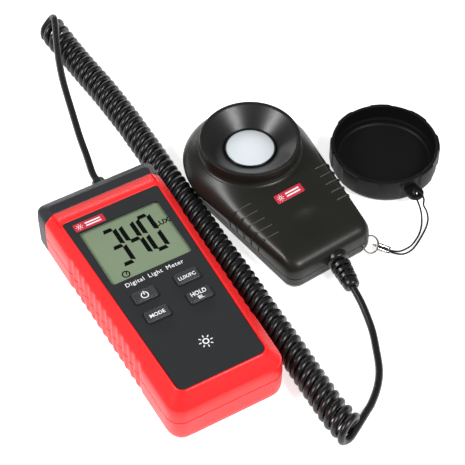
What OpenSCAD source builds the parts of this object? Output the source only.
// Split light meter: a handset lying on its back, a curly cord, and a sensor head with its tethered cap.
// X is to the right, Y runs along the handset towards its cord end, Z is up from the surface it lies on.

/* [Handset] */
// Overall length of the handset
case_l = 130; // [120:1:140]
// Width of the handset at its cord end
case_w_far = 60; // [58:0.5:62]
// Width of the handset at its other end
case_w_near = 56; // [55:0.5:58]
// Thickness of the handset
case_h = 27; // [27:0.5:30]
// Height of the seam between the two red shells
seam_z = 13; // [12:0.5:14]
// Thickness of the case walls
wall = 2; // [1.6:0.1:2.2]
// Depth of the grey cap on the cord end
end_cap_l = 10.7; // [9:0.1:12]
// Number of finger grooves on each side of the handset
grip_count = 13; // [0:1:15]

/* [Display and keys] */
// Width of the display window
window_w = 39.6; // [36:0.1:40]
// Length of the display window
window_l = 33.7; // [30:0.1:34]
// Width of a key
key_w = 11.2; // [9:0.1:12]
// Length of a key
key_l = 6.2; // [5:0.1:7]
// How far a key stands above the panel
key_rise = 1.4; // [0.8:0.1:2]
// Gap round a key
key_gap = 0.2; // [0.15:0.05:0.4]

/* [Sensor head] */
// Length of the sensor head
head_l = 99; // [90:1:105]
// Width of the sensor head across the sensor
head_w = 64; // [60:1:68]
// Width of the sensor head at its cord end
head_w_near = 48; // [46:1:50]
// Height of the rim of the sensor hood
hood_z = 30.5; // [29:0.5:32]
// Radius of the hood's outer wall, which the cap pushes over
hood_r = 23.8; // [22:0.1:25]
// Radius of the white dome
dome_r = 11.4; // [10:0.1:12]
// Height of the seam between the head's two shells
head_seam_z = 7; // [6:0.5:8]
// How far the head is turned from the handset's direction
head_turn = 5; // [3:0.5:6]

/* [Cap] */
// Outer radius of the cap
cap_r = 26.4; // [26.4:0.1:28]
// Height of the cap
cap_h = 14; // [12:0.5:16]
// Number of flat grips round the cap
cap_grips = 8; // [6:1:12]

/* [Cord] */
// Diameter of the cord
cord_d = 3.3; // [3:0.1:3.5]
// Outer diameter of the curled length
coil_d = 13.4; // [13:0.1:14]
// Diameter of the lanyard
lanyard_d = 0.9; // [0.8:0.1:1]

/* [Hidden] */
$fn = 48;
eps = 0.01;

// ---- handset: derived places ----
y_far = case_l / 2;
y_near = -case_l / 2;
joint_y = y_far - end_cap_l;
shoulder_far_z = case_h - 2.4;
shoulder_near_z = case_h - 5;
panel_z = case_h - 0.8;
panel_t = 0.6;
panel_far = joint_y - 7.3;
panel_near = y_near + 6.8;
panel_hw_far = 24.4;
panel_hw_near = 20.9;
window_y = 21.9;
lens_margin = 3.2;
key_x = 10.4;
key_rows = [-7.1, -18.7];
key_top_z = case_h - 0.2 + key_rise;
roof_z = panel_z - 1.8;
board_z = 15.4;
board_t = 1.6;
board_hw = 20.5;
board_near = -42;
board_far = 50;
board_post = [17, 46];
board_post_near = -38;
case_post = [25, 46];
case_post_near = [22.9, -56.8];
end_post = [14, 19.5];
door_hw = 18.6;
door_far = -9;
door_z0 = 0.3;
door_t = 1.4;
door_play = 0.15;
cell_r = 5.15;
cell_l = 44.2;
cell_pitch = 11.2;
cell_z = 7.3;
cell_near = -55.5;
box_hw = 17.4;
box_near = -60.6;
box_far = -9.9;
box_top = 12.7;
gland_x = 6;
gland_z = 13.4;
gland_l = 8.5;

// ---- sensor head: derived places, in the head's own directions from the centre of its dome ----
head_place = [74.4, 48.1];
head_flare = 2.8;
head_near = -(head_l - head_w / 2);
head_r = head_w / 2;
corner_r = 7;
plateau_z = hood_z - 7;
plateau_r = 26.3;
near_top_z = 15.5;
seat_z = plateau_z - 1.5;
boss_bore_r = hood_r - 1.4;
dome_base_z = plateau_z;
dome_rise = 3.2;
boot_x = 1.7;
boot_z = 7.5;
boot_lean = 10.4;
boot_l = 16.5;
ring_r = 4.8;
ring_wire_r = 0.45;
ring_tilt = 40;
ring_seat = [19.7, head_near + 3.4, 8];

// ---- cap ----
cap_place = [136.7, 26.1];
cap_wall = 2;
cap_floor = 3;
ear_place = [-1.9, -29.6];
ear_r = 4;
ear_z = 7.2;
ear_t = 1.9;
ear_hole_r = 1.3;

// ---- cords: routes in the object's own frame ----
handset_tail = [
  [6, 73.5, 13.4], [6.2, 79, 13.4], [8.6, 90, 13.7], [11, 102, 14], [14.3, 116, 14.8], [18.9, 135, 15.6],
  [22.1, 146, 15.8], [25.7, 156.3, 15.8], [29.8, 166.8, 16], [33.4, 175.4, 16.3], [35.4, 180.8, 16.3],
  [35.5, 183.5, 14.8], [33, 184.5, 11.4], [30.3, 184.2, 8]
];
coil_axis = [
  [34.2, 183.6, 6.9], [35.4, 160, 6.9], [37.4, 134, 6.9], [38.8, 104, 6.9], [38.2, 70, 6.9], [38, 30, 6.9],
  [37.8, -35, 6.9], [37.3, -75, 6.9], [37.9, -99.6, 6.9]
];
head_tail = [
  [37.6, -99.6, 1.8], [42, -97.3, 1.8], [47, -94.4, 1.8], [51.2, -91.9, 1.8], [55.5, -89.3, 1.8],
  [62.5, -83.2, 1.8], [68, -76, 1.8], [73.1, -65.4, 1.8], [76.3, -57.7, 2.1], [78.2, -50.4, 3.2],
  [79.6, -42.8, 4.5], [80.4, -34.9, 5.5]
];
lanyard_route = [
  [109.1, -23.4, 1.8], [112.6, -24.9, 1], [118.4, -24.6, 0.7], [122.6, -22.9, 0.7], [126.4, -20.5, 0.7],
  [129.9, -17.2, 0.8], [132.6, -13.4, 1.4], [133.7, -10.6, 3.4], [133.9, -8.9, 5], [134.6, -5.6, 6],
  [134.8, -3.5, 8], [135, -3.6, 10.1], [136, -6.4, 10.2], [136.2, -8.7, 8.4], [135.6, -9.8, 5.4],
  [136.2, -11.6, 3], [135.4, -14.6, 1], [131.9, -18.4, 0.7], [125.4, -23, 0.7], [119, -26.4, 0.7],
  [114, -26.9, 0.7], [110.2, -25.9, 1], [108.4, -24.4, 1.8]
];

// Half width of the case at a distance along it
function case_hw(y) = case_w_near / 2 + (case_w_far - case_w_near) / 2 * (y - y_near) / case_l;

// Points of an arc about a centre
function arc(c, r, a0, a1, n = 8) =
  [for (i = [0 : n]) c + r * [cos(a0 + (a1 - a0) * i / n), sin(a0 + (a1 - a0) * i / n)]];

// Flat outline with straight tapered sides and round corners
module outline(hw_near, hw_far, near, far, r_near, r_far) {
  polygon(concat(
    arc([hw_far - r_far, far - r_far], r_far, 0, 90), arc([r_far - hw_far, far - r_far], r_far, 90, 180),
    arc([r_near - hw_near, near + r_near], r_near, 180, 270),
    arc([hw_near - r_near, near + r_near], r_near, 270, 360)));
}

// Plate cut to the case's outline, drawn in by an inset on each side and end
module case_plate(inset, near_inset, far_inset, z, t = eps) {
  translate([0, 0, z]) linear_extrude(t)
    outline(case_w_near / 2 - inset, case_w_far / 2 - inset, y_near + near_inset, y_far - far_inset, 9, 6);
}

module rounded_plate(w, l, t, r) { linear_extrude(t) outline(w / 2, w / 2, -l / 2, l / 2, r, r); }

// Whole upper half of the case, sloping bevel round its top included
module case_upper() {
  tilt = atan((shoulder_far_z - shoulder_near_z) / case_l);
  hull() {
    case_plate(0, 0, 0, seam_z);
    translate([0, y_near, shoulder_near_z]) rotate([tilt, 0, 0]) translate([0, -y_near, 0])
      case_plate(0.9, 1.4, 0, 0);
    translate([0, 0, case_h - eps]) linear_extrude(eps)
      outline(panel_hw_near + 0.5, panel_hw_far + 0.9, panel_near - 0.6, y_far - 6.7, 5, 3);
  }
}

// Whole lower half of the case, its bottom edge drawn in
module case_lower() {
  hull() {
    case_plate(2.6, 2, 2, 0);
    case_plate(0.7, 0.5, 0.5, 1.2);
    case_plate(0.2, 0.2, 0.2, 3.4);
    case_plate(0, 0, 0, seam_z - eps, eps);
  }
}

module body_side() { translate([-60, y_near - 20, -5]) cube([120, joint_y - y_near + 20, case_h + 20]); }
module cap_side() { translate([-60, joint_y, -5]) cube([120, 40, case_h + 20]); }

// Upright finger grooves down both sides, leaning in with the upper wall
module grip_grooves(lean, z, h) {
  for (s = [-1, 1], i = [0 : 1 : grip_count - 1]) {
    y = 31 - i * 5.2;
    translate([s * case_hw(y), y, z]) rotate([0, -s * lean, 0]) translate([s * 1.1, 0, 0])
      cylinder(r = 1.7, h = h, $fn = 24);
  }
}

module key_hole(x, y, gap, z, t) {
  translate([x, y, z]) rounded_plate(key_w + 2 * gap, key_l + 2 * gap, t, 1);
}

module case_posts(z, h, r) {
  for (s = [-1, 1]) {
    translate([s * case_post[0], case_post[1], z]) cylinder(r = r, h = h);
    translate([s * case_post_near[0], case_post_near[1], z]) cylinder(r = r, h = h);
  }
}

module board_posts(z, h, r) {
  for (s = [-1, 1], y = [board_post[1], board_post_near])
    translate([s * board_post[0], y, z]) cylinder(r = r, h = h);
}

module end_posts(y, l, r) {
  for (s = [-1, 1]) translate([s * end_post[0], y, end_post[1]]) rotate([-90, 0, 0]) cylinder(r = r, h = l);
}

// ---- handset ----
module front_shell() color("#e8323a") difference() {
  union() {
    difference() {
      intersection() {
        case_upper();
        body_side();
      }
      translate([0, 0, seam_z - 1]) linear_extrude(8)
        outline(case_w_near / 2 - 4, case_w_far / 2 - 3.4, y_near + 2.8, joint_y - wall, 5, 2);
      translate([0, 0, seam_z + 6]) linear_extrude(roof_z - seam_z - 6)
        outline(panel_hw_near - 0.2, panel_hw_far + 0.2, y_near + 8, joint_y - wall, 3, 2);
      grip_grooves(10, seam_z - 1, 9);
    }
    case_posts(seam_z, roof_z - seam_z + 0.1, 2.8);
    board_posts(board_z + board_t, roof_z - board_z - board_t + 0.1, 2.4);
  }
  translate([0, 0, panel_z]) linear_extrude(2)
    outline(panel_hw_near, panel_hw_far, panel_near, panel_far, 3, 1.5);
  translate([0, window_y, roof_z - 1]) rounded_plate(window_w + lens_margin + 0.2, window_l + 5.4, 5, 1);
  for (s = [-1, 1], y = key_rows) key_hole(s * key_x, y, key_gap, roof_z - 1, 5);
  case_posts(seam_z - 1, 7, 1.25);
  board_posts(board_z, 6, 0.95);
  end_posts(joint_y - wall - 0.5, wall + 1, 1);
  translate([gland_x - 3.5, joint_y - wall - 0.5, seam_z - 1]) cube([7, wall + 1, 7]);
}

module back_shell() color("#e8323a") difference() {
  union() {
    difference() {
      intersection() {
        case_lower();
        body_side();
      }
      translate([0, 0, wall]) linear_extrude(seam_z)
        outline(case_w_near / 2 - 2.6, case_w_far / 2 - 2.4, y_near + wall + 0.6, joint_y - wall, 5, 2);
      grip_grooves(0, -1, seam_z + 2);
    }
    translate([-box_hw - 1.4, box_near - 1.4, wall - 0.5]) cube([2 * box_hw + 2.8, box_far - box_near + 2.8,
      box_top - wall + 1.5]);
    case_posts(wall - 0.5, seam_z - wall + 0.5, 3.2);
  }
  translate([-box_hw, box_near, wall - 1]) cube([2 * box_hw, box_far - box_near, box_top - wall + 1]);
  translate([-door_hw - door_play, y_near - 5, -1])
    cube([2 * (door_hw + door_play), door_far - y_near + 5 + door_play, wall + 1.1]);
  translate([-door_hw - 1 - door_play, y_near - 5, 0.9])
    cube([2 * (door_hw + 1 + door_play), door_far - y_near + 5 + door_play, 0.95]);
  case_posts(-1, 6, 2.5);
  case_posts(-1, seam_z + 2, 1.3);
}

module end_cap() color("#4b4b4d") difference() {
  union() {
    difference() {
      intersection() {
        union() {
          case_upper();
          case_lower();
        }
        cap_side();
      }
      translate([-26, joint_y - 1, 2.2]) cube([52, end_cap_l - 1.2, case_h - 6.2]);
    }
    end_posts(joint_y, end_cap_l - 2, 2.4);
  }
  end_posts(joint_y - 1, 7, 0.95);
  translate([gland_x, y_far - 3, gland_z]) rotate([-90, 0, 0]) cylinder(r = 2.7, h = 5);
}

module front_panel() color("#37373a") difference() {
  translate([0, 0, panel_z]) linear_extrude(panel_t)
    outline(panel_hw_near - 0.1, panel_hw_far - 0.1, panel_near + 0.1, panel_far - 0.1, 2.9, 1.4);
  translate([0, window_y, panel_z - 1]) rounded_plate(window_w, window_l, 3, 1.6);
  for (s = [-1, 1], y = key_rows) key_hole(s * key_x, y, key_gap, panel_z - 1, 3);
}

module panel_badge() color("#d8202c")
  translate([-13, panel_far - 5.2, panel_z + panel_t]) rounded_plate(15, 4.6, 0.2, 0.5);

module lcd_window() color("#dfe6e2", 0.4)
  translate([0, window_y, roof_z + 1]) rounded_plate(window_w + lens_margin, window_l + 5.2, 0.8, 1);

module lcd_cell() color("#93a487")
  translate([-20.8, window_y - 18.6, roof_z - 1.7]) cube([41.6, 37.2, 2.6]);

module lcd_backlight() color("#f0f4e8")
  translate([-18.3, window_y - 15.3, board_z + board_t + 2.2]) cube([36.6, 30.6, 3.4]);

module lcd_frame() color("#e6e4dc") difference() {
  translate([-21, window_y - 20, board_z + board_t]) cube([42, 40, roof_z - 1.7 - board_z - board_t]);
  translate([-18.4, window_y - 15.4, board_z]) cube([36.8, 30.8, 12]);
  for (s = [-1, 1]) translate([-18.2, window_y + s * 17.6 - 1.15, board_z]) cube([36.4, 2.3, 12]);
}

module zebra_strips() color("#d8a0a0") for (s = [-1, 1])
  translate([-18, window_y + s * 17.6 - 1, board_z + board_t])
    cube([36, 2, roof_z - 1.7 - board_z - board_t]);

module main_board() color("#1f6b3a") difference() {
  translate([-board_hw, board_near, board_z]) cube([2 * board_hw, board_far - board_near, board_t]);
  board_posts(board_z - 1, board_t + 2, 1);
}

module board_chips() color("#222224") translate([0, 0, board_z + board_t]) {
  translate([-6, -37, 0]) cube([10, 10, 1.4]);
  translate([8, -33, 0]) cube([5, 4, 1.4]);
  translate([-14, -30, 0]) cube([4, 8, 1.6]);
}

module key_switches() color("#2c2c2e") for (s = [-1, 1], y = key_rows)
  translate([s * key_x, y, board_z + board_t]) {
    translate([-3, -3, 0]) cube([6, 6, 2.6]);
    cylinder(r = 1.7, h = 3.3);
  }

module sensor_socket() color("#e9e6da") translate([gland_x - 4, 44.6, board_z + board_t]) cube([8, 4.8, 5]);

module sensor_leads() color("#b02020") for (i = [-1, 0, 1])
  translate([gland_x + i * 1.6, 49.4, board_z + board_t + 2])
    rotate([-109, 0, 0]) cylinder(r = 0.5, h = 12.6);

module key(x, y) {
  translate([x, y, board_z + board_t + 4])
    rounded_plate(key_w, key_l, key_top_z - board_z - board_t - 4, 0.9);
  translate([x, y, roof_z - 1.1]) rounded_plate(key_w + 1.6, key_l + 1.6, 0.9, 1.2);
}

module key_power() color("#4a4a4e") key(-key_x, key_rows[0]);
module key_mode() color("#4a4a4e") key(-key_x, key_rows[1]);
module key_units() color("#4a4a4e") key(key_x, key_rows[0]);
module key_hold() color("#4a4a4e") key(key_x, key_rows[1]);

// Pan-head screw, head down, its shank rising from z = 0
module screw(head_r, head_h, shank_r, shank_l) {
  difference() {
    translate([0, 0, -head_h]) cylinder(r = head_r, h = head_h);
    for (a = [0, 90]) rotate(a) translate([-head_r * 0.7, -0.3, -head_h - 1]) cube([head_r * 1.4, 0.6, 1.7]);
  }
  cylinder(r = shank_r, h = shank_l);
}

module case_screws() color("#8f9296") for (s = [-1, 1]) {
  translate([s * case_post[0], case_post[1], 5]) screw(2.3, 1.8, 1.15, 13);
  translate([s * case_post_near[0], case_post_near[1], 5]) screw(2.3, 1.8, 1.15, 13);
}

module board_screws() color("#8f9296") for (s = [-1, 1], y = [board_post[1], board_post_near])
  translate([s * board_post[0], y, board_z]) screw(1.9, 1.2, 0.85, 5.2);

module end_cap_screws() color("#8f9296") for (s = [-1, 1])
  translate([s * end_post[0], joint_y - wall, end_post[1]]) rotate([-90, 0, 0]) screw(1.9, 1.3, 0.85, 7);

module battery_cells() color("#6f7f8c") for (i = [-1, 0, 1])
  translate([i * cell_pitch, cell_near, cell_z]) rotate([-90, 0, 0]) {
    cylinder(r = cell_r, h = cell_l);
    cylinder(r = 1.9, h = cell_l + 1);
  }

module battery_springs() color("#c9ccd0") for (i = [-1, 0, 1])
  translate([i * cell_pitch, box_near + 0.5, cell_z]) rotate([-90, 0, 0]) difference() {
    cylinder(r = 2.9, h = cell_near - box_near - 0.5);
    translate([0, 0, -1]) cylinder(r = 2.2, h = 9);
  }

module battery_contacts() color("#c9ccd0") for (i = [-1, 0, 1]) {
  translate([i * cell_pitch - 4.6, box_near + 0.1, 3]) cube([9.2, 0.4, 8.8]);
  translate([i * cell_pitch - 4.6, cell_near + cell_l + 1, 3]) cube([9.2, 0.3, 8.8]);
}

module battery_door() color("#e8323a") difference() {
  intersection() {
    case_lower();
    union() {
      translate([-door_hw, y_near - 2, door_z0]) cube([2 * door_hw, door_far - y_near + 2, door_t]);
      translate([-door_hw - 1, y_near - 2, 1])
        cube([2 * door_hw + 2, door_far - y_near + 2, door_z0 + door_t - 1]);
    }
  }
  for (i = [0 : 1 : 4]) translate([-7, -20 + i * 2.4, door_z0 - 1]) cube([14, 1.1, 1.4]);
}

module cord_gland() color("#1c1c1e") translate([gland_x, 0, gland_z]) rotate([-90, 0, 0]) {
  translate([0, 0, y_far]) cylinder(r1 = 3.9, r2 = 3.5, h = gland_l);
  translate([0, 0, y_far - 3.2]) cylinder(r = 2.6, h = 3.3);
}

// ---- cord ----
function unit(v) = v / norm(v);
function heading(p, i) = unit(p[min(i + 1, len(p) - 1)] - p[max(i - 1, 0)]);
// Direction square to the heading, carried along without twist
function side_of(p, i) = i == 0
  ? unit(cross(heading(p, 0), abs(heading(p, 0)[2]) < 0.9 ? [0, 0, 1] : [1, 0, 0]))
  : let (h = heading(p, i), s = side_of(p, i - 1)) unit(s - (s * h) * h);

// Round tube swept through a route's points
module tube(p, d, sides = 8) {
  rings = [for (i = [0 : len(p) - 1]) let (h = heading(p, i), s = side_of(p, i), t = cross(h, s))
    for (k = [0 : sides - 1]) p[i] + d / 2 * (cos(360 * k / sides) * s + sin(360 * k / sides) * t)];
  n = len(p);
  walls = [for (i = [0 : n - 2], k = [0 : sides - 1])
    [i * sides + k, i * sides + (k + 1) % sides, (i + 1) * sides + (k + 1) % sides, (i + 1) * sides + k]];
  ends = [[for (k = [sides - 1 : -1 : 0]) k], [for (k = [0 : sides - 1]) (n - 1) * sides + k]];
  polyhedron(points = rings, faces = concat(walls, ends), convexity = 6);
}

module cord_tail_handset() color("#19191b") tube(handset_tail, cord_d);
module cord_coil() color("#19191b") tube(coil_axis, coil_d, 12);
module cord_tail_head() color("#19191b") tube(head_tail, cord_d);

module strain_relief() color("#19191b") in_head() translate([boot_x, head_near, boot_z]) {
  rotate([90, 0, 0]) translate([0, 0, -3]) cylinder(r = 3.2, h = 3.2);
  rotate([90 + 7, 0, -boot_lean]) difference() {
    cylinder(r1 = 5.4, r2 = 3.4, h = boot_l);
    for (i = [0 : 1 : 2], s = [-1, 1])
      translate([s * 4.6, 0, 6 + i * 3.8]) cube([4.4, 12, 1.6], center = true);
  }
}

// ---- sensor head ----
module in_head() { translate(head_place) rotate(head_turn) children(); }

// Flat outline of the head: a round end about the hood, drawn in by one inset, and a straight end, by another
module head_outline(round_inset, end_inset) {
  c = [head_w_near / 2 - corner_r, head_near + corner_r];
  round_r = head_r - round_inset;
  end_r = corner_r - end_inset;
  a = atan2(c[1], c[0]) + acos((round_r - end_r) / norm(c));
  polygon(concat(arc([0, 0], round_r, a, 180 - a, 36), arc([-c[0], c[1]], end_r, 180 - a, 270),
    arc(c, end_r, 270, 360 + a)));
}

// Upper body of the head, rising from its cord end to the flat under the hood; t draws every wall in
module head_upper(t) {
  hull() {
    translate([0, 0, head_seam_z - (t > 0 ? 1 : 0)])
      linear_extrude(eps) head_outline(head_flare + t, 0.2 + t);
    translate([0, head_near, 12.4 - t]) rotate([3.4, 0, 0]) translate([0, -head_near, 0])
      linear_extrude(eps) head_outline(t, 0.8 + t);
    translate([0, 0, plateau_z - eps - t]) cylinder(r = plateau_r - t, h = eps, $fn = 72);
    for (s = [-1, 1]) translate([s * (head_w_near / 2 - 8.5), head_near + 8.5, near_top_z - t])
      cylinder(r = 5 - t, h = eps, $fn = 32);
  }
}

module head_posts(z, far_h, near_h, r) {
  for (s = [-1, 1]) {
    translate([s * 20, 14, z]) cylinder(r = r, h = far_h);
    translate([s * 14, head_near + 9.5, z]) cylinder(r = r, h = near_h);
  }
}

module sensor_posts(z, h, r) {
  for (a = [90, 210, 330]) rotate(a) translate([16, 0, z]) cylinder(r = r, h = h);
}

// Ring that hangs through the corner hole
module corner_ring(minor_r) {
  translate(ring_seat) rotate([0, 0, -45]) rotate([0, ring_tilt, 0]) translate([ring_r, 0, 0])
    rotate_extrude($fn = 48) translate([ring_r, 0]) circle(minor_r, $fn = 16);
}

// Half width of the head's upper body at a distance along its straight flank
function head_hw(y) = head_w_near / 2 + (head_r - head_w_near / 2) * (y - head_near) / (head_l - head_r);

// Upright grooves down both flanks, leaning out with them
module head_grooves() {
  for (s = [-1, 1], i = [0 : 1 : 4]) {
    y = -24.5 - i * 5;
    translate([s * (head_hw(y) + 0.1), y, head_seam_z - 1])
      rotate([0, s * 9, 0]) cylinder(r = 0.9, h = 14, $fn = 24);
  }
}

module head_top_shell() color("#2c2c29") in_head() difference() {
  union() {
    difference() {
      union() {
        head_upper(0);
        translate([0, 0, plateau_z - 0.5]) cylinder(r1 = hood_r + 1.6, r2 = hood_r, h = 4, $fn = 96);
        translate([0, 0, plateau_z]) cylinder(r = hood_r, h = hood_z - plateau_z, $fn = 96);
      }
      head_upper(wall);
    }
    translate([0, 0, seat_z - 1.5]) cylinder(r = 24.5, h = 1.6);
    head_posts(head_seam_z, 14, 8, 2.8);
    sensor_posts(15, seat_z - 16, 2.2);
  }
  translate([0, 0, seat_z]) cylinder(r = boss_bore_r, h = 20, $fn = 96);
  translate([0, 0, 10]) cylinder(r = 12.6, h = 20, $fn = 72);
  head_posts(head_seam_z - 1, 6, 6, 1.25);
  head_grooves();
  sensor_posts(14, 5, 0.95);
  translate([boot_x, head_near - 1, boot_z]) rotate([-90, 0, 0]) cylinder(r = 3.3, h = 5);
  corner_ring(1);
}

module head_bottom_shell() color("#2c2c29") in_head() difference() {
  union() {
    difference() {
      hull() {
        linear_extrude(eps) head_outline(head_flare + 2.8, 2.4);
        translate([0, 0, 1.1]) linear_extrude(eps) head_outline(head_flare + 1.5, 0.9);
        translate([0, 0, 2.8]) linear_extrude(eps) head_outline(head_flare + 0.7, 0.4);
        translate([0, 0, head_seam_z - eps]) linear_extrude(eps) head_outline(head_flare, 0.2);
      }
      translate([0, 0, wall]) linear_extrude(head_seam_z) head_outline(head_flare + 0.6 + wall, 0.4 + wall);
    }
    head_posts(wall - 0.5, head_seam_z - wall + 0.5, head_seam_z - wall + 0.5, 3.2);
  }
  head_posts(-1, 4.4, 4.4, 2.5);
  head_posts(-1, 12, 12, 1.3);
  translate([boot_x, head_near - 1, boot_z]) rotate([-90, 0, 0]) cylinder(r = 3.3, h = 5);
  corner_ring(1);
}

module sensor_hood() color("#1b1b1b") in_head() rotate_extrude($fn = 96)
  polygon([[12.4, seat_z], [boss_bore_r - 0.05, seat_z], [boss_bore_r - 0.05, hood_z - 0.3],
    [boss_bore_r - 0.5, hood_z - 0.3], [12.6, plateau_z - 0.1], [12.4, plateau_z - 0.1]]);

module diffuser_dome() color("#f4f4f1") in_head() difference() {
  ball_r = (dome_r * dome_r + dome_rise * dome_rise) / (2 * dome_rise);
  union() {
    intersection() {
      translate([0, 0, dome_base_z + dome_rise - ball_r]) sphere(r = ball_r, $fn = 96);
      translate([0, 0, dome_base_z - 0.2]) cylinder(r = dome_r, h = dome_rise + 1, $fn = 72);
    }
    translate([0, 0, 20.7]) cylinder(r = 12.2, h = dome_base_z - 20.9, $fn = 72);
  }
  translate([0, 0, 20]) cylinder(r = 9.5, h = 2.6, $fn = 72);
}

module dome_ring() color("#262626") in_head() rotate_extrude($fn = 72)
  polygon([
    [11.5, plateau_z - 0.2], [12.3, plateau_z - 0.2], [12.3, plateau_z + 0.3], [11.6, plateau_z + 0.5]
  ]);

module filter_holder() color("#202022") in_head() difference() {
  translate([0, 0, 15]) cylinder(r = 12, h = 5.7);
  translate([0, 0, 14]) cylinder(r = 6.4, h = 4.4);
  translate([0, 0, 18.3]) cylinder(r = 7.1, h = 3);
}

module colour_filter() color("#7fb59a") in_head() translate([0, 0, 18.4]) cylinder(r = 7, h = 2);

module photodiode() color("#23303c") in_head() translate([-4, -4, 15]) cube([8, 8, 1.8]);

module sensor_board() color("#1f6b3a") in_head() difference() {
  translate([0, 0, 13.4]) cylinder(r = 19.2, h = 1.6);
  sensor_posts(13, 3, 1);
}

module sensor_board_screws() color("#8f9296") in_head() for (a = [90, 210, 330])
  rotate(a) translate([16, 0, 13.4]) screw(1.9, 1.2, 0.85, 5);

module head_screws() color("#8f9296") in_head() for (s = [-1, 1]) {
  translate([s * 20, 14, 3.4]) screw(2.3, 1.6, 1.15, 8);
  translate([s * 14, head_near + 9.5, 3.4]) screw(2.3, 1.6, 1.15, 8);
}

module head_badge() color("#d8202c") in_head()
  translate([-0.8, -32.5, 22.05]) rotate([12, 0, 0]) rounded_plate(15, 4.6, 0.4, 0.6);

module split_ring() color("#c9ccd0") in_head() corner_ring(ring_wire_r);

module lanyard_crimp() color("#c9ccd0") in_head()
  translate([ring_seat[0], ring_seat[1], 0]) rotate(-45)
    translate([2 * ring_r * cos(ring_tilt), 0, ring_seat[2] - 2 * ring_r * sin(ring_tilt)]) {
      rotate([90, 0, 0]) difference() {
        translate([0, 0, -0.8]) cylinder(r = 1.5, h = 1.6);
        translate([0, 0, -2]) cylinder(r = 0.75, h = 4);
      }
      translate([1.2, -1.4, -0.9]) cube([7, 2.8, 1.8]);
    }

module lanyard() color("#141414") tube(lanyard_route, lanyard_d);

// ---- cap ----
// Every second slice of the wall, which stands out as a flat grip
module cap_grip_slices() {
  a = 180 / cap_grips;
  for (i = [0 : 1 : cap_grips - 1]) rotate(i * 2 * a + 6) linear_extrude(cap_h + 1)
    polygon([[0, 0], [cap_r + 4, 0], [(cap_r + 4) * cos(a), (cap_r + 4) * sin(a)]]);
}

module cap() color("#1d1d1f") translate(cap_place) difference() {
  union() {
    rotate_extrude($fn = 96) polygon([[0, 0], [cap_r - 3.4, 0], [cap_r - 1.4, 1], [cap_r - 0.5, 3],
      [cap_r - 0.5, cap_h], [0, cap_h]]);
    intersection() {
      rotate_extrude($fn = 96)
        polygon([[cap_r - 3, 2], [cap_r - 0.4, 2], [cap_r, 3.4], [cap_r, cap_h], [cap_r - 3, cap_h]]);
      cap_grip_slices();
    }
    translate([ear_place[0], ear_place[1], ear_z]) cylinder(r = ear_r, h = ear_t);
    translate([ear_place[0] - 3.4, ear_place[1], ear_z]) cube([6.8, 5, ear_t]);
  }
  translate([0, 0, cap_floor]) cylinder(r = cap_r - cap_wall - 0.2, h = cap_h, $fn = 96);
  translate([ear_place[0], ear_place[1], 0]) cylinder(r = ear_hole_r, h = cap_h);
}

front_shell();
back_shell();
end_cap();
front_panel();
panel_badge();
lcd_window();
lcd_cell();
lcd_backlight();
lcd_frame();
zebra_strips();
main_board();
board_chips();
key_switches();
sensor_socket();
sensor_leads();
key_power();
key_mode();
key_units();
key_hold();
case_screws();
board_screws();
end_cap_screws();
battery_cells();
battery_springs();
battery_contacts();
battery_door();
cord_gland();
cord_tail_handset();
cord_coil();
cord_tail_head();
strain_relief();
head_top_shell();
head_bottom_shell();
sensor_hood();
diffuser_dome();
dome_ring();
filter_holder();
colour_filter();
photodiode();
sensor_board();
sensor_board_screws();
head_screws();
head_badge();
split_ring();
lanyard_crimp();
lanyard();
cap();
